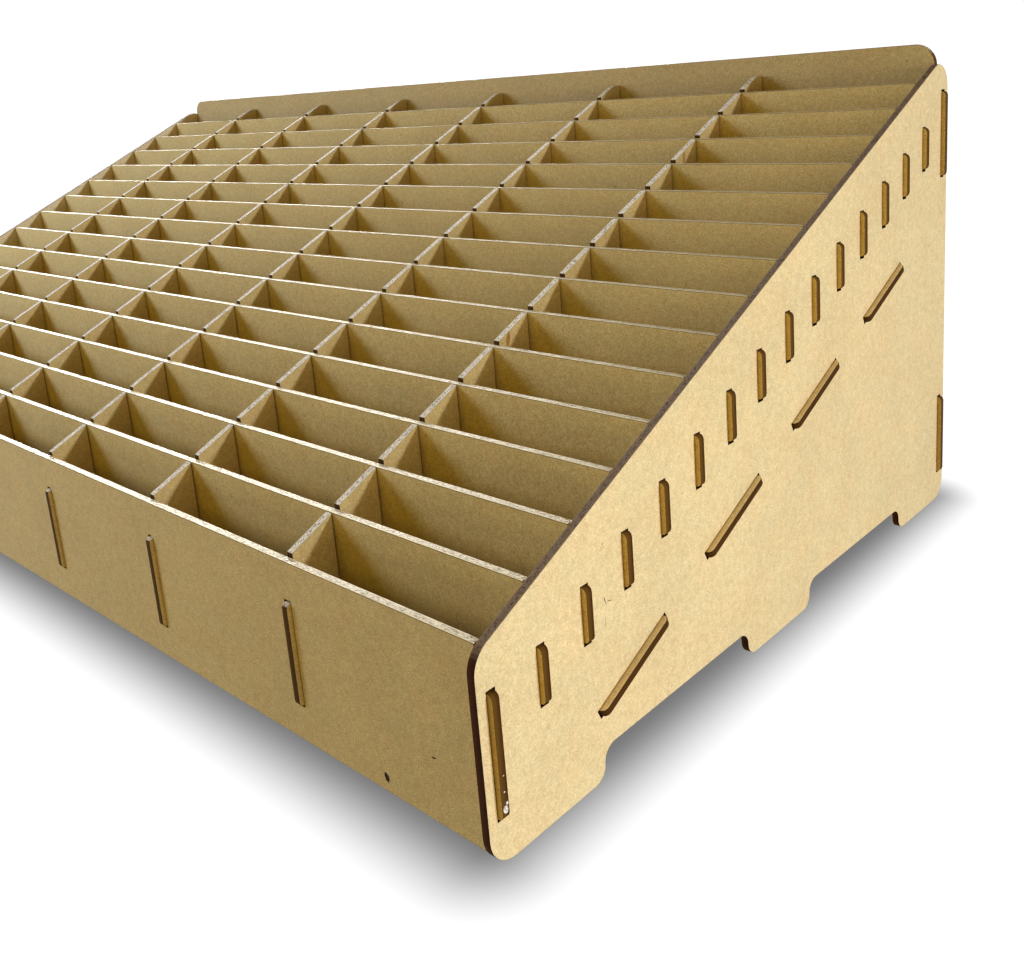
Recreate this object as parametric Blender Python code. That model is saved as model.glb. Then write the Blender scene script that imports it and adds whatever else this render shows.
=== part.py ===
"""Sloped rack of 105 pigeonholes, laser cut from 3 mm MDF and slotted together.

Two side panels carry a front panel, a back panel, a sloping floor and fourteen
row dividers on tabs. Six column dividers run from front to back and half-lap
with the row dividers. Metres, +Z up, the low front faces -Y. The origin is on
the table, below the middle of the rack.
"""

import math

import bmesh
import bpy
from mathutils import Vector

# Driving dimensions, in millimetres.
SHEET = 3.0                 # thickness of the MDF
FIT_GAP = 0.3               # clearance beside a sheet in its slot or notch
END_GAP = 0.7               # clearance at each end of a tab in its slot
ROW_TAB_LIFT = 0.4          # the row dividers' tabs sit this far above the middles of their slots
COLUMNS = 7
ROWS = 15
CELL_WIDTH = 90.0           # clear, left to right
CELL_DEPTH = 18.0           # clear, front to back

SIDE_OVERHANG = 4.0         # side panels reach past the front and back panels
FRONT_HEIGHT = 68.0         # side panel at its front edge, before rounding
BACK_HEIGHT = 218.0         # side panel at its back edge, before rounding
CORNER_RADIUS = 10.0
FOOT_HEIGHT = 10.8
END_FOOT_LENGTH = 52.0
MIDDLE_FOOT_LENGTH = 48.0
FOOT_RADIUS = 5.2

PANEL_BOTTOM = 1.6          # front and back panels stop this far above the table
BACK_PANEL_TOP = 222.0
FLOOR_DROP = 66.3           # from the rack's sloping top down to the floor's upper face
LAP_DROP = 33.0             # from a row divider's top down to the middle of its half-laps

SIDE_TAB_PROUD = 1.9        # tabs stand this far out of the side panels
FLOOR_TAB_PROUD = 2.2       # and the floor's tabs this far
END_TAB_PROUD = 1.6         # tabs stand this far out of the front and back panels
ROW_TAB = 18.6              # tab lengths
FRONT_TAB = 40.2
BACK_TAB = 38.8
COLUMN_TAB = 38.2
FLOOR_TAB = 39.8
FLOOR_TABS = 4
ROW_TAB_DROP = 29.2         # from a row divider's top down to the middle of its tab
FRONT_TAB_HEIGHT = 35.4     # middles of tabs above the table
BACK_LOW_TAB_HEIGHT = 33.6
BACK_HIGH_TAB_HEIGHT = 180.8

CORNER_SEGMENTS = 8
FOOT_SEGMENTS = 5
TAB_SEGMENTS = 3

MDF_COLOUR = (0.72, 0.55, 0.29, 1.0)
MDF_ROUGHNESS = 0.62

# Sizes that follow.
COLUMN_PITCH = CELL_WIDTH + SHEET
ROW_PITCH = CELL_DEPTH + SHEET
SLOT_WIDTH = SHEET + 2 * FIT_GAP
SLOT_EXTRA = 2 * END_GAP    # a slot is this much longer than its tab
INNER_HALF_WIDTH = (COLUMNS * COLUMN_PITCH - SHEET) / 2
OUTER_HALF_WIDTH = INNER_HALF_WIDTH + SHEET
INNER_HALF_DEPTH = (ROWS * ROW_PITCH - SHEET) / 2
PANEL_HALF_DEPTH = INNER_HALF_DEPTH + SHEET
SIDE_HALF_DEPTH = PANEL_HALF_DEPTH + SIDE_OVERHANG
SLOPE = (BACK_HEIGHT - FRONT_HEIGHT) / (2 * SIDE_HALF_DEPTH)
SLOPE_ANGLE = math.atan(SLOPE)
TAB_REACH = OUTER_HALF_WIDTH + SIDE_TAB_PROUD
FLOOR_TAB_REACH = OUTER_HALF_WIDTH + FLOOR_TAB_PROUD
BODY_HALF_WIDTH = INNER_HALF_WIDTH - FIT_GAP
FLOOR_MIDDLE_DROP = FLOOR_DROP + SHEET / 2 / math.cos(SLOPE_ANGLE)

# Orientations: a piece drawn in x and y, with its thickness along z.
FACING_FRONT = (math.radians(90), 0.0, 0.0)                 # x right, y up, thickness to -Y
FACING_SIDE = (math.radians(90), 0.0, math.radians(90))     # x back, y up, thickness to +X
LYING_ON_SLOPE = (SLOPE_ANGLE, 0.0, 0.0)                    # x right, y up the slope


def top_height(y):
    """Height of the rack's sloping top above the table, at depth y."""
    return FRONT_HEIGHT + SLOPE * (y + SIDE_HALF_DEPTH)


def row_front(row):
    """Front face of row divider 1 to 14. Row 0 is the front panel, row 15 the back panel."""
    return row * ROW_PITCH - PANEL_HALF_DEPTH


def column_middle(column):
    """Middle of column divider 1 to 6, from the left."""
    return column * COLUMN_PITCH - SHEET / 2 - INNER_HALF_WIDTH


def round_corner(before, corner, after, radius, segments):
    """Points of the arc that takes the place of a corner."""
    to_before = (Vector(before) - Vector(corner)).normalized()
    to_after = (Vector(after) - Vector(corner)).normalized()
    half_angle = to_before.angle(to_after) / 2
    tangent = radius / math.tan(half_angle)
    start = Vector(corner) + to_before * tangent
    end = Vector(corner) + to_after * tangent
    bisector = (to_before + to_after).normalized()
    centre = Vector(corner) + bisector * (radius / math.sin(half_angle))
    sweep = (start - centre).angle_signed(end - centre)
    points = []
    for step in range(segments + 1):
        angle = -sweep * step / segments
        spoke = start - centre
        cosine = math.cos(angle)
        sine = math.sin(angle)
        turned = Vector((spoke.x * cosine - spoke.y * sine, spoke.x * sine + spoke.y * cosine))
        points.append(centre + turned)
    return points


def outline_points(corners):
    """Corners are (x, y), or (x, y, radius, segments) for a rounded one."""
    points = []
    for index, corner in enumerate(corners):
        place = corner[:2]
        if len(corner) == 2:
            points.append(Vector(place))
            continue
        before = corners[index - 1][:2]
        after = corners[(index + 1) % len(corners)][:2]
        points += round_corner(before, place, after, corner[2], corner[3])
    return points


def slot(x, y, width, height, angle=0.0):
    """Corners of a rectangular slot about its middle, turned by an angle."""
    cosine = math.cos(angle)
    sine = math.sin(angle)
    corners = []
    for side, end in ((-1, -1), (1, -1), (1, 1), (-1, 1)):
        across = side * width / 2
        along = end * height / 2
        corners.append((x + across * cosine - along * sine, y + across * sine + along * cosine))
    return corners


def tab_on_right(edge, reach, middle, length, proud):
    """Outline of a tab on a right-hand edge, going up."""
    low = middle - length / 2
    high = middle + length / 2
    return [
        (edge, low),
        (reach, low, proud, TAB_SEGMENTS),
        (reach, high, proud, TAB_SEGMENTS),
        (edge, high),
    ]


def mirrored(corners):
    """The same stretch of outline on the left, in the order that closes the loop."""
    return [(-corner[0],) + tuple(corner[1:]) for corner in reversed(corners)]


def sheet_mesh(name, corners, slots=()):
    """Closed solid cut from sheet: an outline with slots, SHEET thick, centred on z = 0."""
    sheet = bmesh.new()
    edges = []
    for loop in [outline_points(corners)] + [list(map(Vector, one)) for one in slots]:
        verts = [sheet.verts.new((point.x / 1000, point.y / 1000, -SHEET / 2000)) for point in loop]
        for index, vert in enumerate(verts):
            edges.append(sheet.edges.new((verts[index - 1], vert)))
    bmesh.ops.triangle_fill(sheet, use_beauty=True, edges=edges, normal=(0, 0, 1))
    extruded = bmesh.ops.extrude_face_region(sheet, geom=sheet.faces[:])
    upper = [item for item in extruded["geom"] if isinstance(item, bmesh.types.BMVert)]
    bmesh.ops.translate(sheet, verts=upper, vec=(0, 0, SHEET / 1000))
    bmesh.ops.recalc_face_normals(sheet, faces=sheet.faces[:])
    mesh = bpy.data.meshes.new(name)
    sheet.to_mesh(mesh)
    sheet.free()
    mesh.materials.append(mdf(name + "_mdf"))
    return mesh


def mdf(name):
    """Pale raw MDF."""
    material = bpy.data.materials.new(name)
    material.use_nodes = True
    shader = material.node_tree.nodes["Principled BSDF"]
    shader.inputs["Base Color"].default_value = MDF_COLOUR
    shader.inputs["Roughness"].default_value = MDF_ROUGHNESS
    shader.inputs["Metallic"].default_value = 0.0
    return material


def place(name, mesh, middle, rotation):
    """One piece of the rack; middle is the place of the sheet's own origin, in millimetres."""
    piece = bpy.data.objects.new(name, mesh)
    bpy.context.scene.collection.objects.link(piece)
    piece.location = Vector(middle) / 1000
    piece.rotation_euler = rotation
    return piece


def side_panel_mesh():
    """Drawn with x to the back and y up: three feet, and a slot for every tab."""
    ends = SIDE_HALF_DEPTH
    foot_end = SIDE_HALF_DEPTH - END_FOOT_LENGTH
    middle_end = MIDDLE_FOOT_LENGTH / 2
    foot = (FOOT_RADIUS, FOOT_SEGMENTS)
    big = (CORNER_RADIUS, CORNER_SEGMENTS)
    corners = [
        (-ends, 0.0, *big),
        (-foot_end, 0.0, *foot),
        (-foot_end, FOOT_HEIGHT, *foot),
        (-middle_end, FOOT_HEIGHT, *foot),
        (-middle_end, 0.0, *foot),
        (middle_end, 0.0, *foot),
        (middle_end, FOOT_HEIGHT, *foot),
        (foot_end, FOOT_HEIGHT, *foot),
        (foot_end, 0.0, *foot),
        (ends, 0.0, *big),
        (ends, BACK_HEIGHT, *big),
        (-ends, FRONT_HEIGHT, *big),
    ]
    panel_middle = PANEL_HALF_DEPTH - SHEET / 2
    slots = [
        slot(-panel_middle, FRONT_TAB_HEIGHT, SLOT_WIDTH, FRONT_TAB + SLOT_EXTRA),
        slot(panel_middle, BACK_LOW_TAB_HEIGHT, SLOT_WIDTH, BACK_TAB + SLOT_EXTRA),
        slot(panel_middle, BACK_HIGH_TAB_HEIGHT, SLOT_WIDTH, BACK_TAB + SLOT_EXTRA),
    ]
    for row in range(1, ROWS):
        height = top_height(row_front(row)) - ROW_TAB_DROP - ROW_TAB_LIFT
        slots.append(slot(row_front(row) + SHEET / 2, height, SLOT_WIDTH, ROW_TAB + SLOT_EXTRA))
    for depth in floor_tab_depths():
        height = top_height(depth) - FLOOR_MIDDLE_DROP
        slots.append(slot(depth, height, FLOOR_TAB + SLOT_EXTRA, SLOT_WIDTH, SLOPE_ANGLE))
    return sheet_mesh("side_panel", corners, slots)


def floor_tab_depths():
    """Middles of the floor's tabs, evenly spaced between the front and back panels."""
    spacing = 2 * INNER_HALF_DEPTH / (FLOOR_TABS + 1)
    return [spacing * (index + 1) - INNER_HALF_DEPTH for index in range(FLOOR_TABS)]


def front_panel_mesh():
    """Drawn with x to the right and y up from the table."""
    top = top_height(row_front(0))
    right = [(BODY_HALF_WIDTH, PANEL_BOTTOM)]
    right += tab_on_right(BODY_HALF_WIDTH, TAB_REACH, FRONT_TAB_HEIGHT, FRONT_TAB, SIDE_TAB_PROUD)
    right += [(BODY_HALF_WIDTH, top)]
    return sheet_mesh("front_panel", right + mirrored(right), column_slots(FRONT_TAB_HEIGHT))


def back_panel_mesh():
    """Drawn like the front panel, with two tabs a side; it rises above the side panels."""
    right = [(BODY_HALF_WIDTH, PANEL_BOTTOM)]
    for height in (BACK_LOW_TAB_HEIGHT, BACK_HIGH_TAB_HEIGHT):
        right += tab_on_right(BODY_HALF_WIDTH, TAB_REACH, height, BACK_TAB, SIDE_TAB_PROUD)
    right += [(BODY_HALF_WIDTH, BACK_PANEL_TOP, CORNER_RADIUS, CORNER_SEGMENTS)]
    return sheet_mesh("back_panel", right + mirrored(right), column_slots(BACK_HIGH_TAB_HEIGHT))


def column_slots(height):
    """Slots in the front or back panel for the tabs of the column dividers."""
    length = COLUMN_TAB + SLOT_EXTRA
    return [slot(column_middle(column), height, SLOT_WIDTH, length) for column in range(1, COLUMNS)]


def row_divider_mesh():
    """Drawn with x to the right and y = 0 at its top edge, with half-lap notches from below."""
    bottom = -(FLOOR_DROP - SLOPE * SHEET - FIT_GAP / math.cos(SLOPE_ANGLE))
    right = [(BODY_HALF_WIDTH, bottom)]
    right += tab_on_right(BODY_HALF_WIDTH, TAB_REACH, -ROW_TAB_DROP, ROW_TAB, SIDE_TAB_PROUD)
    right += [(BODY_HALF_WIDTH, 0.0)]
    notch_top = -LAP_DROP + FIT_GAP / 2
    notches = []
    for column in range(1, COLUMNS):
        left_edge = column_middle(column) - SLOT_WIDTH / 2
        right_edge = left_edge + SLOT_WIDTH
        notches += [(left_edge, bottom), (left_edge, notch_top)]
        notches += [(right_edge, notch_top), (right_edge, bottom)]
    return sheet_mesh("row_divider", right + mirrored(right) + notches)


def back_arc_down_from(y):
    """The arc that rounds the side panels' top at the back, from depth y forward to the slope."""
    half_corner = (math.pi / 2 - SLOPE_ANGLE) / 2
    depth = SIDE_HALF_DEPTH - CORNER_RADIUS
    height = BACK_HEIGHT - CORNER_RADIUS / math.tan(half_corner)
    first = math.asin((y - depth) / CORNER_RADIUS)
    points = []
    for step in range(CORNER_SEGMENTS + 1):
        angle = first - (first + SLOPE_ANGLE) * step / CORNER_SEGMENTS
        along = depth + CORNER_RADIUS * math.sin(angle)
        up = height + CORNER_RADIUS * math.cos(angle)
        points.append((along, up))
    return points


def column_divider_mesh():
    """Drawn with x to the back and y up: half-lap notches from above, a tab at each end.

    The top follows the side panels', up to where the back panel cuts off its back arc.
    """
    front = -(INNER_HALF_DEPTH - FIT_GAP)
    back = INNER_HALF_DEPTH - FIT_GAP
    reach = PANEL_HALF_DEPTH + END_TAB_PROUD
    lift = FIT_GAP / math.cos(SLOPE_ANGLE) - FLOOR_DROP
    corners = [(front, top_height(front) + lift), (back, top_height(back) + lift)]
    corners += tab_on_right(back, reach, BACK_HIGH_TAB_HEIGHT, COLUMN_TAB, END_TAB_PROUD)
    corners += back_arc_down_from(back)
    for row in range(ROWS - 1, 0, -1):
        near = row_front(row) - FIT_GAP
        far = near + SLOT_WIDTH
        notch_bottom = top_height(row_front(row)) - LAP_DROP - FIT_GAP / 2
        corners += [(far, top_height(far)), (far, notch_bottom)]
        corners += [(near, notch_bottom), (near, top_height(near))]
    corners += [(front, top_height(front))]
    corners += mirrored(tab_on_right(-front, reach, FRONT_TAB_HEIGHT, COLUMN_TAB, END_TAB_PROUD))
    return sheet_mesh("column_divider", corners)


def sloping_floor_mesh():
    """Drawn with x to the right and y up the slope, with four tabs on each side."""
    cosine = math.cos(SLOPE_ANGLE)
    lean = SHEET / 2 * math.sin(SLOPE_ANGLE)
    half_length = (INNER_HALF_DEPTH - FIT_GAP - lean) / cosine
    right = [(BODY_HALF_WIDTH, -half_length)]
    for depth in floor_tab_depths():
        along = depth / cosine
        right += tab_on_right(BODY_HALF_WIDTH, FLOOR_TAB_REACH, along, FLOOR_TAB, FLOOR_TAB_PROUD)
    right += [(BODY_HALF_WIDTH, half_length)]
    return sheet_mesh("sloping_floor", right + mirrored(right))


def build_rack():
    side_middle = OUTER_HALF_WIDTH - SHEET / 2
    side_mesh = side_panel_mesh()
    place("side_panel_right", side_mesh, (side_middle, 0, 0), FACING_SIDE)
    place("side_panel_left", side_mesh, (-side_middle, 0, 0), FACING_SIDE)

    panel_middle = PANEL_HALF_DEPTH - SHEET / 2
    place("front_panel", front_panel_mesh(), (0, -panel_middle, 0), FACING_FRONT)
    place("back_panel", back_panel_mesh(), (0, panel_middle, 0), FACING_FRONT)

    floor_height = top_height(0) - FLOOR_MIDDLE_DROP
    place("sloping_floor", sloping_floor_mesh(), (0, 0, floor_height), LYING_ON_SLOPE)

    row_mesh = row_divider_mesh()
    for row in range(1, ROWS):
        front = row_front(row)
        middle = (0, front + SHEET / 2, top_height(front))
        place(f"row_divider_{row:02d}", row_mesh, middle, FACING_FRONT)

    column_mesh = column_divider_mesh()
    for column in range(1, COLUMNS):
        place(f"column_divider_{column}", column_mesh, (column_middle(column), 0, 0), FACING_SIDE)


for old_object in list(bpy.data.objects):
    bpy.data.objects.remove(old_object, do_unlink=True)

build_rack()
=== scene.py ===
"""Looks of the sloped pigeonhole rack: raw fibreboard sheets with charred, laser-cut edges.

Metres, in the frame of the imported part: +Z up, the low front faces -Y.
"""

import math

import bmesh
import bpy
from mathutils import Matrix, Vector, noise


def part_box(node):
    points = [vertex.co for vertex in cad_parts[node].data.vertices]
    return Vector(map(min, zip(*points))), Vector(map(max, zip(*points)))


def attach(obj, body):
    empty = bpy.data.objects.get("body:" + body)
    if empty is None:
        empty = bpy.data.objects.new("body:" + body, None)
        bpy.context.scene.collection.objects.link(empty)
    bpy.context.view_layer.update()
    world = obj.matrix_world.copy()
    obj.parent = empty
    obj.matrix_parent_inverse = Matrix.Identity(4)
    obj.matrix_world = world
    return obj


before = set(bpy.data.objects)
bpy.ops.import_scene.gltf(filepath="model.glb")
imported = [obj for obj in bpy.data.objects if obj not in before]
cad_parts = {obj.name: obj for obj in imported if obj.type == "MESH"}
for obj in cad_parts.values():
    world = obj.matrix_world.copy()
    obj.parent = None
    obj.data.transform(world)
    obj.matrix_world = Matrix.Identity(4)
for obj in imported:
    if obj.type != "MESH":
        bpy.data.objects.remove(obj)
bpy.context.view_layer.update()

MM = 0.001
ALONG_X = (1.0, 0.0, 0.0)
ALONG_Y = (0.0, 1.0, 0.0)

# Outer faces of the side panels and of the front panel, beyond which only the tabs reach.
PANEL_OUTER_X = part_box("side_panel_right")[1].x
PANEL_OUTER_Y = -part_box("front_panel")[0].y

# The rack's sloping top: the way it faces, and its place along that.
RACK_TILT = (0.0, -0.4180, 0.9085)
RACK_TOP = Vector(RACK_TILT).dot((0.0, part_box("front_panel")[0].y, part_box("front_panel")[1].z))

# Camera: the rack seen from above its low right-hand corner.
CAMERA_PLACE = (0.5180, -0.3316, 0.2188)
CAMERA_TURN = (76.907, 4.189, 41.929)       # degrees about x, y, z
CAMERA_SENSOR = 36.0                        # width in mm
CAMERA_LENS = 36.612                        # mm
CAMERA_SHIFT = (-0.02754, -0.15825)
CAMERA_CLIP = (0.01, 100.0)

# Suns: (direction towards the light, colour, strength, width in degrees).
KEY_LIGHT = ((0.80, 0.42, 0.42), (0.65, 0.74, 1.0), 2.72, 5)
RIM_LIGHT = ((-0.82, 0.55, 0.17), (1.0, 0.98, 0.90), 11.5, 42)
# Panels: (place, point aimed at, size, colour, power in watts).
NEAR_PANEL = ((0.82, -0.13, 0.12), (0.327, -0.10, 0.08), 0.30, (1.0, 0.96, 0.80), 1.02)
LEFT_PANEL = ((-0.72, -0.70, 0.42), (-0.1, -0.05, 0.1), 0.50, (0.48, 0.62, 1.0), 12.8)
FRONT_PANEL = ((0.08, -1.2, 0.9), (0.0, 0.0, 0.1), 0.90, (1.0, 0.79, 0.06), 4.55)
RIGHT_PANEL = ((1.5, -0.3, 0.8), (0.2, 0.0, 0.1), 0.60, (1.0, 0.78, 0.30), 2.5)
DOME_COLOUR = (1.0, 0.92, 0.72, 1.0)
DOME_STRENGTH = 0.12
BACKDROP_STRENGTH = 1.08

# Floor: its size, its place below the feet, and the light that it sends back to the rack, given
# off as a glow though the floor is no lamp.
FLOOR_REACH = 30.0
FLOOR_GAP = 0.3 * MM
FLOOR_GLOW = (0.71, 0.69, 0.57)
# Painted shadow that the camera sees on it, darkest close under the rack. It starts this far
# in from the rack's sides, and from its front and back, and spreads out from there.
PAINTED_SHADOW_DARK = 0.19
PAINTED_SHADOW_INSET = (11 * MM, 5 * MM)
PAINTED_SHADOW_REACH = 38 * MM

# Fibreboard colours: (shade of the faces, darkest fibres, palest fibres), linear.
SIDE_TONES = ((0.650, 0.510, 0.272), (0.530, 0.392, 0.180), (0.755, 0.630, 0.385))
END_TONES = ((0.430, 0.304, 0.122), (0.315, 0.203, 0.068), (0.530, 0.408, 0.195))
DIVIDER_TONES = ((0.510, 0.362, 0.132), (0.375, 0.243, 0.068), (0.625, 0.478, 0.222))
WARM_TINT = (1.02, 0.975, 0.95)
SPECK_COLOUR = (0.16, 0.08, 0.03)
SPECK_DEPTH = 0.45
TAB_TINT = (1.08, 0.98, 0.70)              # yellower tint on the faces of the tabs, by colour
ROOT_SHADE_AND_SMOKE = (1.02, 0.86, 0.45)             # and deeper close to the panel they pass through: painted shade where the tab leaves it, with some smoke
# Cut edges: (darkest char, brown char, dense outer skins), and the share of pale ash and painted
# highlight on the top ones.
SIDE_EDGES = ((0.008, 0.002, 0.001), (0.034, 0.008, 0.002), (0.056, 0.016, 0.004), 0.40)
ROW_EDGES = ((0.030, 0.009, 0.002), (0.064, 0.024, 0.003), (0.118, 0.058, 0.010), 0.97)
COLUMN_EDGES = ((0.020, 0.007, 0.001), (0.052, 0.022, 0.002), (0.070, 0.030, 0.004), 0.95)
# Ash and painted highlight on those edges: (in its dark dashes, between them, on the outer skins).
SIDE_ASH_AND_HIGHLIGHT = ((0.110, 0.047, 0.030), (0.465, 0.325, 0.205), (0.500, 0.355, 0.215))
ROW_ASH_AND_HIGHLIGHT = ((0.195, 0.125, 0.060), (0.600, 0.490, 0.280), (0.720, 0.600, 0.350))
COLUMN_ASH_AND_HIGHLIGHT = ((0.120, 0.058, 0.042), (0.960, 0.830, 0.640), (0.780, 0.690, 0.510))

# Roughness of the char, and of the ash and painted highlight in its dark and in its pale dashes.
CHAR_ROUGH = 0.70
LEVEL_SHINE = (0.55, 0.25)
SLOPING_SHINE = (0.70, 0.52)
SHEEN = 0.06                                # level of the surface's reflection, and its colour
SHEEN_TINT = (1.0, 0.72, 0.40, 1.0)
GRAIN_RELIEF = (0.22, 0.08 * MM)            # strength and height of the bump

# Textures: (features to the metre, octaves, roughness, warp).
FIBRES = (1900.0, 5.0, 0.70, 0.8)
CLUMPS = (430.0, 3.0, 0.55, 0.3)
WARMTH = (75.0, 3.0, 0.6, 0.0)
DRIFT = (30.0, 3.0, 0.5, 0.0)
STREAKS = (1700.0, 4.0, 0.7, 0.2)
DASHES = (2300.0, 4.0, 0.75, 0.2)
PATCHES = (160.0, 3.0, 0.6, 0.4)
WOBBLE = (1800.0, 2.0, 0.5, 0.0)
GLUE_CLOUD = (1600.0, 3.0, 0.6, 0.0)
SPECKS = 190.0                              # features to the metre
# Streaks and dashes are drawn out along a sheet: their places there are scaled by this.
STREAK_STRETCH = 0.25
DASH_STRETCH = 0.4

# Ramps over the textures: (low end, high end), then the values there if they aren't 0 and 1.
DARK_FIBRES = (0.36, 0.52, 1.0, 0.0)
PALE_FIBRES = (0.52, 0.68)
FIBRE_ROUGH = (0.3, 0.7, 0.66, 0.54)
CLUMP_SHADE = (0.25, 0.75, 0.925, 1.075)
WARM_SHARE = (0.35, 0.65)
DRIFT_SHADE = (0.25, 0.75, 0.96, 1.04)
SPECK_SIZE = (0.20, 0.06)
SPECK_CHANCE = (0.975, 0.98)
BROWN_STREAKS = (0.34, 0.62)
PALE_DASHES = (0.38, 0.54)
ASH_AND_HIGHLIGHT_COVER = (0.2, 0.55)
SHINY_DASHES = (0.38, 0.60)
MARK_OUTLINE = (1.55, 1.25)
GLUE_TINT = (0.38, 0.60)
GLUE_ROUGH = (0.3, 0.7, 0.30, 0.12)

# Ramps over how squarely a surface faces along the sheet's thickness.
CUT_EDGE = (0.86, 0.56)
RIM_FROM_FACE = (0.99, 0.95)
RIM_FROM_EDGE = (0.80, 0.88)
RIM_DARKNESS = (0.75, 0.12)                     # how dark the rim is, and how dark on the tabs
# Ramps through the thickness of a cut edge, where 0 and 1 are its two faces.
SKIN_DEPTH = (0.26, 0.38)                   # from the middle
FAR_SIDE = (0.15, 0.95, 1.0, 0.0)
FAR_SIDE_SHARE = 0.7
FRAYING = 0.55
TILTED_DEPTH = 0.75                         # on the floor, whose thickness lies along no axis
TILTED_OFF_MIDDLE = 0.25
# Pale ash and a painted highlight lie on edges that face up and are near the rack's top.
FACING_UP = (0.45, 0.88)
BELOW_TOP = (7 * MM, 4 * MM)
LEAST_COVER = 0.7
# The tint on the tabs starts inside the panel's outer face, and is deepest close outside it, where
# it is partly painted shade.
TAB_START = (3.2 * MM, 2.9 * MM)
ROOT_REACH = 0.9 * MM
ROOT_START = 0.2 * MM

# Marks left on the boards: (centre, half sizes, turn in degrees, depth of colour), in mm.
# The half size of 1.0 is the one along the sheet's thickness.
MARK_COLOUR = (0.030, 0.008, 0.004)
GLUE_STAIN = (0.290, 0.115, 0.012)
MARK_RAGGED = 0.8
FRONT_MARKS = (
    ((276.5, -159.0, 6.9), (1.15, 1.0, 1.70), -22, 1.0),
    ((301.1, -159.0, 24.4), (1.10, 1.0, 0.32), -12, 0.95),
    ((262.0, -159.0, 21.5), (0.30, 1.0, 0.50), 0, 0.3),
)
SIDE_MARKS = (
    ((327.0, -105.8, 79.1), (1.0, 0.28, 0.30), 0, 0.7),
    ((327.0, -106.2, 60.3), (1.0, 0.20, 1.50), 18, 0.75),
    ((327.0, -104.0, 59.3), (1.0, 1.10, 0.18), -14, 0.75),
    ((327.0, -106.6, 53.0), (1.0, 0.16, 2.40), -6, 0.40),
    ((327.0, -100.5, 57.0), (1.0, 0.90, 0.14), 30, 0.25),
)
DIVIDER_MARKS = (
    ((306.8, -97.5, 85.8), (0.60, 1.0, 0.45), 0, 0.8),
    ((197.3, -76.5, 94.4), (0.45, 1.0, 0.45), 0, 0.8),
)
COLUMN_STAINS = (
    ((234.0, -45.4, 119.3), (1.0, 1.10, 2.90), -12, 0.85),
    ((234.0, 82.2, 177.9), (1.0, 1.05, 3.00), -8, 0.70),
)

# Rounding of each kind of sheet's cut edges.
SIDE_ROUNDING = 0.10 * MM
COLUMN_ROUNDING = 0.15 * MM
ROW_ROUNDING = 0.30 * MM
END_ROUNDING = 0.30 * MM
FLOOR_ROUNDING = 0.40 * MM
ROUNDED_ANGLE = 50                          # degrees; gentler corners stay as they are
FLAT_ANGLE = 0.5                            # degrees; faces closer than this are one
SAME_POINT = 0.001 * MM

# Glue on the front panel's tab: (y, z, half length along y, half height, rise off the tab), in mm.
GLUE_DROPS = (
    (-157.6, 18.9, 0.95, 1.30, 0.30),
    (-156.9, 20.6, 0.45, 0.60, 0.30),
    (-157.5, 24.5, 0.35, 0.22, 0.15),
    (-157.3, 29.6, 0.40, 0.20, 0.15),
)
GLUE_COLOURS = ((0.34, 0.24, 0.15), (0.86, 0.84, 0.80))
GLUE_RELIEF = (0.5, 0.15 * MM)
GLUE_SUNK = 0.05 * MM
LUMP_DEPTH = 0.35
LUMP_SCALE = 1.7
LUMP_OFFSETS = (3.1, 5.0)                   # in the pattern of lumps: drop to drop, and for all


# ---------------------------------------------------------------- node helpers

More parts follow.
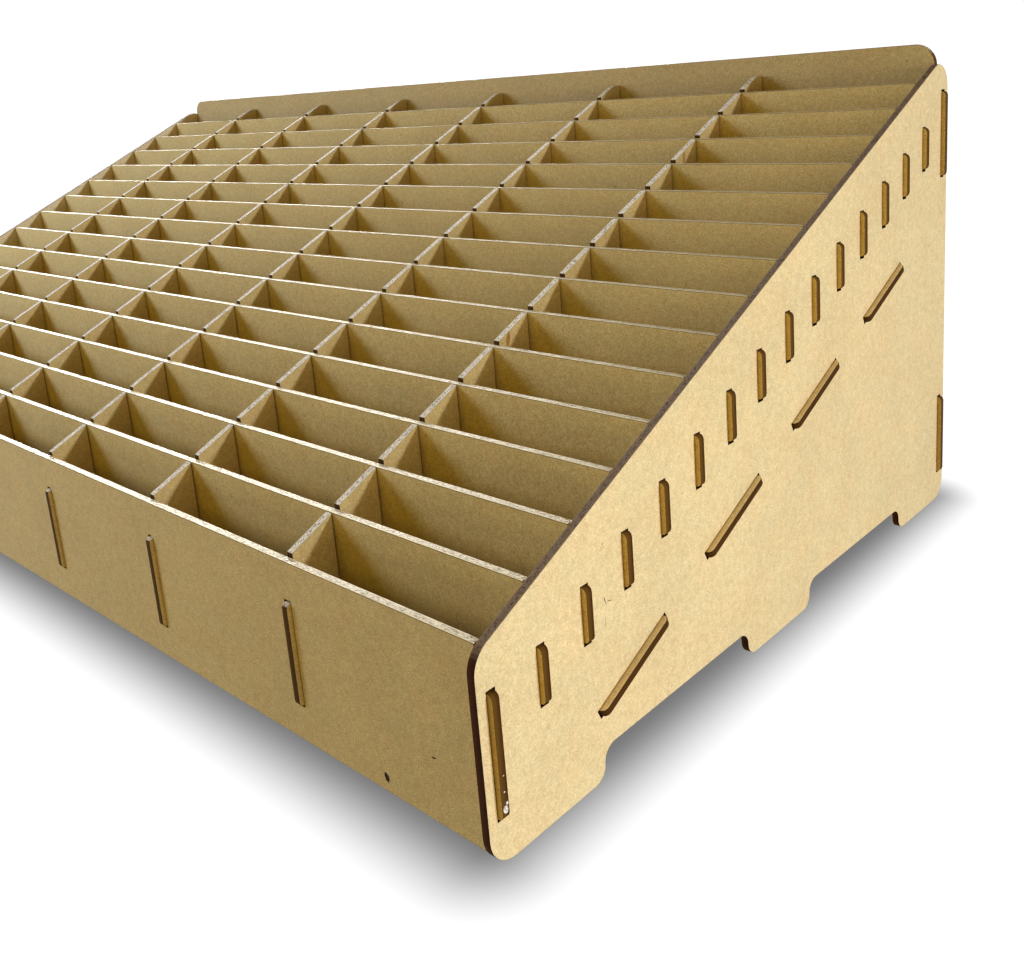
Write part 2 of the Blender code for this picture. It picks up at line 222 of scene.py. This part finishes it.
class Shader:
    """Short calls that add and link the nodes of one material."""

    def __init__(self, name):
        self.material = bpy.data.materials.new(name)
        self.material.use_nodes = True
        self.tree = self.material.node_tree
        self.surface = self.tree.nodes["Principled BSDF"]

    def node(self, kind, **settings):
        made = self.tree.nodes.new(kind)
        for name, value in settings.items():
            setattr(made, name, value)
        return made

    def feed(self, socket, value):
        """A socket takes another node's output, or a plain value."""
        if isinstance(value, bpy.types.NodeSocket):
            self.tree.links.new(value, socket)
        elif isinstance(value, tuple) and len(value) == 3 and socket.type == "RGBA":
            socket.default_value = (*value, 1.0)
        else:
            socket.default_value = value

    def cover(self, socket_name, value):
        """Feeds a socket of the surface itself."""
        self.feed(self.surface.inputs[socket_name], value)

    def math(self, operation, *values):
        made = self.node("ShaderNodeMath", operation=operation)
        for socket, value in zip(made.inputs, values):
            self.feed(socket, value)
        return made.outputs[0]

    def scaled(self, vector, scale):
        made = self.node("ShaderNodeVectorMath", operation="MULTIPLY")
        self.feed(made.inputs[0], vector)
        self.feed(made.inputs[1], scale)
        return made.outputs[0]

    def dot(self, vector, direction):
        made = self.node("ShaderNodeVectorMath", operation="DOT_PRODUCT")
        self.feed(made.inputs[0], vector)
        self.feed(made.inputs[1], direction)
        return made.outputs["Value"]

    def part(self, vector, index):
        made = self.node("ShaderNodeSeparateXYZ")
        self.feed(made.inputs[0], vector)
        return made.outputs[index]

    def from_middle(self, place, index):
        """How far a place is from the rack's middle along one axis."""
        return self.math("ABSOLUTE", self.part(place, index))

    def grey(self, value):
        made = self.node("ShaderNodeCombineColor")
        for socket in made.inputs[:3]:
            self.feed(socket, value)
        return made.outputs[0]

    def noise(self, vector, scale, detail, roughness, distortion):
        made = self.node("ShaderNodeTexNoise")
        self.feed(made.inputs["Vector"], vector)
        self.feed(made.inputs["Scale"], scale)
        self.feed(made.inputs["Detail"], detail)
        self.feed(made.inputs["Roughness"], roughness)
        self.feed(made.inputs["Distortion"], distortion)
        return made.outputs["Fac"]

    def spots(self, vector, scale):
        """Distance to the nearest of a scatter of points, and a random value of that point."""
        made = self.node("ShaderNodeTexVoronoi", feature="F1")
        self.feed(made.inputs["Vector"], vector)
        self.feed(made.inputs["Scale"], scale)
        split = self.node("ShaderNodeSeparateColor")
        self.feed(split.inputs[0], made.outputs["Color"])
        return made.outputs["Distance"], split.outputs[0]

    def steps(self, value, low, high, from_low=0.0, to_high=1.0):
        """Smooth rise from from_low to to_high as value goes from low to high."""
        made = self.node("ShaderNodeMapRange", interpolation_type="SMOOTHSTEP")
        for socket, number in zip(made.inputs, (value, low, high, from_low, to_high)):
            self.feed(socket, number)
        return made.outputs["Result"]

    def mix(self, share, first, second, blend="MIX"):
        made = self.node("ShaderNodeMix", data_type="RGBA", blend_type=blend)
        self.feed(made.inputs["Factor"], share)
        self.feed(made.inputs["A"], first)
        self.feed(made.inputs["B"], second)
        return made.outputs["Result"]

    def tinted(self, share, colour, tint):
        """The colour, multiplied by the tint where share is 1."""
        return self.mix(share, colour, self.mix(1.0, colour, tint, "MULTIPLY"))

    def blended(self, share, first, second):
        made = self.node("ShaderNodeMix", data_type="FLOAT")
        self.feed(made.inputs["Factor"], share)
        self.feed(made.inputs["A"], first)
        self.feed(made.inputs["B"], second)
        return made.outputs["Result"]

    def bump(self, height, strength, distance):
        made = self.node("ShaderNodeBump")
        self.feed(made.inputs["Strength"], strength)
        self.feed(made.inputs["Distance"], distance)
        self.feed(made.inputs["Height"], height)
        return made.outputs["Normal"]


# ------------------------------------------------------------------ fibreboard

def tab_masks(shader, place, across):
    """Where a sheet's tabs are, and the part of them close to the panel they pass through."""
    if across == ALONG_X:
        out, root = shader.from_middle(place, 1), PANEL_OUTER_Y
    else:
        out, root = shader.from_middle(place, 0), PANEL_OUTER_X
    on_tab = shader.steps(out, root - TAB_START[0], root - TAB_START[1])
    close = shader.steps(out, root + ROOT_REACH, root - ROOT_START)
    return on_tab, shader.math("MULTIPLY", close, on_tab)


def stained(shader, place, colour, marks, mark_colour):
    """Spots, runs and short scratches at given places."""
    wobble = shader.noise(place, *WOBBLE)
    for centre, half_sizes, turn, depth in marks:
        across = half_sizes.index(1.0)
        mapping = shader.node("ShaderNodeMapping", vector_type="TEXTURE")
        shader.feed(mapping.inputs["Vector"], place)
        mapping.inputs["Location"].default_value = [part * MM for part in centre]
        mapping.inputs["Rotation"].default_value[across] = math.radians(turn)
        mapping.inputs["Scale"].default_value = [part * MM for part in half_sizes]
        length = shader.node("ShaderNodeVectorMath", operation="LENGTH")
        shader.feed(length.inputs[0], mapping.outputs[0])
        raggedness = shader.math("MULTIPLY", wobble, MARK_RAGGED)
        ragged = shader.math("ADD", length.outputs["Value"], raggedness)
        inside = shader.steps(ragged, *MARK_OUTLINE, 0.0, depth)
        colour = shader.mix(inside, colour, mark_colour)
    return colour


def board_faces(shader, place, tones, fibres):
    """Colour of a sheet's faces: fibres in clumps, warmer and duller areas, and dark specks."""
    base, dark, pale = tones
    tone = shader.mix(shader.steps(fibres, *DARK_FIBRES), base, dark)
    tone = shader.mix(shader.steps(fibres, *PALE_FIBRES), tone, pale)
    warmth = shader.noise(place, *WARMTH)
    tone = shader.tinted(shader.steps(warmth, *WARM_SHARE), tone, WARM_TINT)
    clump_shade = shader.steps(shader.noise(place, *CLUMPS), *CLUMP_SHADE)
    drift_shade = shader.steps(shader.noise(place, *DRIFT), *DRIFT_SHADE)
    shade = shader.grey(shader.math("MULTIPLY", clump_shade, drift_shade))
    return shader.mix(1.0, tone, shade, "MULTIPLY")


def specks(shader, place):
    """How strongly a dark speck shows."""
    distance, chance = shader.spots(place, SPECKS)
    near = shader.steps(distance, *SPECK_SIZE)
    chosen = shader.steps(chance, *SPECK_CHANCE)
    return shader.math("MULTIPLY", shader.math("MULTIPLY", near, chosen), SPECK_DEPTH)


def layered(shader, place, across, stretch, texture):
    """A texture drawn out along the sheet."""
    scale = tuple(1.0 if abs(part) > 0.3 else stretch for part in across)
    return shader.noise(shader.scaled(place, scale), *texture)


def fibreboard(
    name, tones, edges, ash_and_highlight_tones, across,
    tabs=True, tab_tint_share=0.0, marks=(), mark_colour=MARK_COLOUR,
):
    """Raw MDF: mottled fibrous faces, and charred edges where the laser cut it.

    across is the direction of the sheet's thickness, edges and ash_and_highlight_tones are the
    colours of its cut edges, with pale ash and a painted highlight on their tops, and
    tab_tint_share is how strongly its tabs' faces are tinted.
    """
    shader = Shader(name)
    coordinates = shader.node("ShaderNodeTexCoord")
    place = coordinates.outputs["Object"]
    normal = coordinates.outputs["Normal"]
    facing = shader.math("ABSOLUTE", shader.dot(normal, across))
    on_edge = shader.steps(facing, *CUT_EDGE)
    on_tab, near_root = tab_masks(shader, place, across) if tabs else (0.0, 0.0)

    # Faces.
    fibres = shader.noise(place, *FIBRES)
    tone = board_faces(shader, place, tones, fibres)
    tone = shader.tinted(shader.math("MULTIPLY", on_tab, tab_tint_share), tone, TAB_TINT)
    # Painted shade, with some smoke: warmer and darker close to where the tab leaves the panel.
    tone = shader.tinted(near_root, tone, ROOT_SHADE_AND_SMOKE)
    face_colour = shader.mix(specks(shader, place), tone, SPECK_COLOUR)
    face_colour = stained(shader, place, face_colour, marks, mark_colour)

    # Edges: char in long thin layers, paler near the sheet's two skins.
    darkest, brown, skin, ash_and_highlight_share = edges
    streaks = layered(shader, place, across, STREAK_STRETCH, STREAKS)
    if across == RACK_TILT:
        depth = TILTED_DEPTH
        off_middle = TILTED_OFF_MIDDLE
    else:
        depth = shader.part(coordinates.outputs["Generated"], across.index(1.0))
        off_middle = shader.math("ABSOLUTE", shader.math("SUBTRACT", depth, 0.5))
    fraying = shader.math("MULTIPLY", shader.math("SUBTRACT", streaks, 0.5), FRAYING)
    near_skin = shader.steps(shader.math("ADD", off_middle, fraying), *SKIN_DEPTH)
    far_side = shader.steps(shader.math("ADD", depth, fraying), *FAR_SIDE)
    char = shader.mix(shader.steps(streaks, *BROWN_STREAKS), darkest, brown)
    char = shader.mix(shader.math("MULTIPLY", far_side, FAR_SIDE_SHARE), char, skin)

    # Ash and a painted highlight on the edges that face up, at the rack's top: pale, with dark
    # dashes.
    dashes = layered(shader, place, across, DASH_STRETCH, DASHES)
    ash_dark, pale_ash_and_highlight, ash_and_highlight_on_skins = ash_and_highlight_tones
    ash_and_highlight = shader.mix(shader.steps(dashes, *PALE_DASHES), ash_dark, pale_ash_and_highlight)
    ash_and_highlight = shader.mix(near_skin, ash_and_highlight, ash_and_highlight_on_skins)
    height = shader.dot(place, RACK_TILT)
    on_top = shader.steps(height, RACK_TOP - BELOW_TOP[0], RACK_TOP - BELOW_TOP[1])
    # The tops of the column sheets' tabs get it too: a painted highlight where their corners catch
    # the light.
    if across == ALONG_X:
        on_top = shader.math("MAXIMUM", on_top, on_tab)
    up = shader.math("MULTIPLY", shader.steps(shader.part(normal, 2), *FACING_UP), on_top)
    patches = shader.noise(place, *PATCHES)
    cover = shader.steps(patches, *ASH_AND_HIGHLIGHT_COVER, LEAST_COVER * ash_and_highlight_share, ash_and_highlight_share)
    edge_colour = shader.mix(shader.math("MULTIPLY", cover, up), char, ash_and_highlight)

    # The two together, with a dark line in the char's brown where they meet.
    board_colour = shader.mix(on_edge, face_colour, edge_colour)
    dark_rim = shader.math(
        "MULTIPLY",
        shader.steps(facing, *RIM_FROM_FACE),
        shader.steps(facing, *RIM_FROM_EDGE),
    )
    dark_rim = shader.math("MULTIPLY", dark_rim, shader.blended(on_tab, *RIM_DARKNESS))
    shader.cover("Base Color", shader.mix(dark_rim, board_colour, brown))

    dark_shine, pale_shine = SLOPING_SHINE if across == ALONG_X else LEVEL_SHINE
    ash_rough = shader.steps(dashes, *SHINY_DASHES, dark_shine, pale_shine)
    edge_rough = shader.blended(up, CHAR_ROUGH, ash_rough)
    face_rough = shader.steps(fibres, *FIBRE_ROUGH)
    shader.cover("Roughness", shader.blended(on_edge, face_rough, edge_rough))
    shader.cover("Specular IOR Level", SHEEN)
    shader.cover("Specular Tint", SHEEN_TINT)
    relief = shader.blended(on_edge, fibres, streaks)
    shader.cover("Normal", shader.bump(relief, *GRAIN_RELIEF))
    return shader.material


def dress(node, material, rounding):
    """Gives a sheet its material, and takes the sharpness off its cut edges."""
    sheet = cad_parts[node]
    sheet.data.materials.clear()
    sheet.data.materials.append(material)
    weld = sheet.modifiers.new("join_faces", "WELD")
    weld.merge_threshold = SAME_POINT
    flatten = sheet.modifiers.new("plain_faces", "DECIMATE")
    flatten.decimate_type = "DISSOLVE"
    flatten.angle_limit = math.radians(FLAT_ANGLE)
    bevel = sheet.modifiers.new("worn_edges", "BEVEL")
    bevel.width = rounding
    bevel.segments = 2
    bevel.limit_method = "ANGLE"
    bevel.angle_limit = math.radians(ROUNDED_ANGLE)


# ------------------------------------------------------------------------ glue

def make_glue():
    """Two dried drops of wood glue and two smears, on the front panel's right tab."""
    shader = Shader("dried_glue")
    place = shader.node("ShaderNodeTexCoord").outputs["Object"]
    cloud = shader.noise(place, *GLUE_CLOUD)
    shader.cover("Base Color", shader.mix(shader.steps(cloud, *GLUE_TINT), *GLUE_COLOURS))
    shader.cover("Roughness", shader.steps(cloud, *GLUE_ROUGH))
    shader.cover("Normal", shader.bump(cloud, *GLUE_RELIEF))
    mesh = bmesh.new()
    tab_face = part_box("front_panel")[1].x
    for drop, (y, z, half_y, half_z, rise) in enumerate(GLUE_DROPS):
        ball = bmesh.ops.create_icosphere(mesh, subdivisions=4, radius=1.0)["verts"]
        offset = Vector((LUMP_OFFSETS[0] * drop, 0, LUMP_OFFSETS[1]))
        for vertex in ball:
            lumps = 1.0 + LUMP_DEPTH * noise.noise(vertex.co * LUMP_SCALE + offset)
            vertex.co = Vector((
                tab_face - GLUE_SUNK + vertex.co.x * rise * MM,
                (y + vertex.co.y * half_y * lumps) * MM,
                (z + vertex.co.z * half_z * lumps) * MM,
            ))
    data = bpy.data.meshes.new("glue_drop")
    mesh.to_mesh(data)
    mesh.free()
    for polygon in data.polygons:
        polygon.use_smooth = True
    data.materials.append(shader.material)
    glue = bpy.data.objects.new("glue_drop", data)
    bpy.context.scene.collection.objects.link(glue)
    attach(glue, "root")


# --------------------------------------------------------------- floor, lights

def make_floor():
    """A plain pale floor that glows: the camera sees it white, with a painted shadow close under
    and around the rack, and the rack gets a glow from it in place of light sent back.
    """
    mesh = bpy.data.meshes.new("floor")
    corners = [
        (-FLOOR_REACH, -FLOOR_REACH, 0),
        (FLOOR_REACH, -FLOOR_REACH, 0),
        (FLOOR_REACH, FLOOR_REACH, 0),
        (-FLOOR_REACH, FLOOR_REACH, 0),
    ]
    mesh.from_pydata(corners, [], [(0, 1, 2, 3)])
    floor = bpy.data.objects.new("floor", mesh)
    floor.location.z = -FLOOR_GAP
    bpy.context.scene.collection.objects.link(floor)

    shader = Shader("pale_floor")
    place = shader.node("ShaderNodeTexCoord").outputs["Object"]
    # Painted shadow on the floor: darker close under and around the rack.
    squares = []
    for index, outer in enumerate((PANEL_OUTER_X, PANEL_OUTER_Y)):
        start = outer - PAINTED_SHADOW_INSET[index]
        outside = shader.math("SUBTRACT", shader.from_middle(place, index), start)
        squares.append(shader.math("POWER", shader.math("MAXIMUM", outside, 0.0), 2.0))
    distance = shader.math("SQRT", shader.math("ADD", *squares))
    shade = shader.steps(distance, 0.0, PAINTED_SHADOW_REACH)
    seen = shader.mix(shade, (PAINTED_SHADOW_DARK,) * 3, (BACKDROP_STRENGTH,) * 3)
    # The floor glows though it is no lamp: towards the rack, in place of light sent back, and for
    # the camera, white with the painted shadow.
    path = shader.node("ShaderNodeLightPath")
    shader.cover("Emission Color", shader.mix(path.outputs["Is Camera Ray"], FLOOR_GLOW, seen))
    shader.cover("Emission Strength", 1.0)
    shader.cover("Base Color", (0.0, 0.0, 0.0))
    shader.cover("Roughness", 1.0)
    shader.cover("Specular IOR Level", 0.0)
    mesh.materials.append(shader.material)


def make_light(name, light, towards):
    """Puts a light in the scene, turned so that it shines from that direction."""
    lamp = bpy.data.objects.new(name, light)
    lamp.rotation_euler = Vector(towards).to_track_quat("Z", "Y").to_euler()
    bpy.context.scene.collection.objects.link(lamp)
    return lamp


def make_sun(name, towards, colour, strength, width):
    light = bpy.data.lights.new(name, "SUN")
    light.color = colour
    light.energy = strength
    light.angle = math.radians(width)
    return make_light(name, light, towards)


def make_panel(name, place, aim, size, colour, power):
    light = bpy.data.lights.new(name, "AREA")
    light.shape = "DISK"
    light.size = size
    light.color = colour
    light.energy = power
    panel = make_light(name, light, Vector(place) - Vector(aim))
    panel.location = place


def make_world():
    """Soft light from all round, and a white backdrop."""
    world = bpy.data.worlds.new("studio")
    bpy.context.scene.world = world
    world.use_nodes = True
    tree = world.node_tree
    dome = tree.nodes["Background"]
    dome.inputs["Color"].default_value = DOME_COLOUR
    dome.inputs["Strength"].default_value = DOME_STRENGTH
    backdrop = tree.nodes.new("ShaderNodeBackground")
    backdrop.inputs["Color"].default_value = (1, 1, 1, 1)
    backdrop.inputs["Strength"].default_value = BACKDROP_STRENGTH
    path = tree.nodes.new("ShaderNodeLightPath")
    mix = tree.nodes.new("ShaderNodeMixShader")
    tree.links.new(path.outputs["Is Camera Ray"], mix.inputs[0])
    tree.links.new(dome.outputs[0], mix.inputs[1])
    tree.links.new(backdrop.outputs[0], mix.inputs[2])
    tree.links.new(mix.outputs[0], tree.nodes["World Output"].inputs[0])


def make_camera():
    data = bpy.data.cameras.new("camera")
    data.sensor_fit = "HORIZONTAL"
    data.sensor_width = CAMERA_SENSOR
    data.lens = CAMERA_LENS
    data.shift_x, data.shift_y = CAMERA_SHIFT
    data.clip_start, data.clip_end = CAMERA_CLIP
    camera = bpy.data.objects.new("camera", data)
    camera.location = CAMERA_PLACE
    camera.rotation_euler = [math.radians(angle) for angle in CAMERA_TURN]
    bpy.context.scene.collection.objects.link(camera)
    bpy.context.scene.camera = camera


# ----------------------------------------------------------------------- scene

make_camera()
make_floor()
make_world()
make_sun("key", *KEY_LIGHT)
rim = make_sun("rim", *RIM_LIGHT)
rim.visible_diffuse = False                 # it only glances off the tops
make_panel("near", *NEAR_PANEL)
make_panel("left", *LEFT_PANEL)
make_panel("front", *FRONT_PANEL)
make_panel("right", *RIGHT_PANEL)
bpy.context.scene.view_settings.view_transform = "Standard"

side_board = fibreboard(
    "side_board", SIDE_TONES, SIDE_EDGES, SIDE_ASH_AND_HIGHLIGHT, ALONG_X,
    tabs=False, marks=SIDE_MARKS,
)
end_board = fibreboard(
    "end_board", END_TONES, ROW_EDGES, ROW_ASH_AND_HIGHLIGHT, ALONG_Y,
    tab_tint_share=1.0, marks=FRONT_MARKS,
)
row_board = fibreboard(
    "row_board", DIVIDER_TONES, ROW_EDGES, ROW_ASH_AND_HIGHLIGHT, ALONG_Y,
    tab_tint_share=1.0, marks=DIVIDER_MARKS,
)
column_board = fibreboard(
    "column_board", DIVIDER_TONES, COLUMN_EDGES, COLUMN_ASH_AND_HIGHLIGHT, ALONG_X,
    marks=COLUMN_STAINS, mark_colour=GLUE_STAIN,
)
floor_board = fibreboard(
    "floor_board", SIDE_TONES, ROW_EDGES, ROW_ASH_AND_HIGHLIGHT, RACK_TILT,
    tab_tint_share=0.5,
)
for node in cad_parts:
    if node.startswith("side"):
        dress(node, side_board, SIDE_ROUNDING)
    elif node.startswith("column"):
        dress(node, column_board, COLUMN_ROUNDING)
    elif node.startswith("row"):
        dress(node, row_board, ROW_ROUNDING)
    elif node == "sloping_floor":
        dress(node, floor_board, FLOOR_ROUNDING)
    else:
        dress(node, end_board, END_ROUNDING)
make_glue()
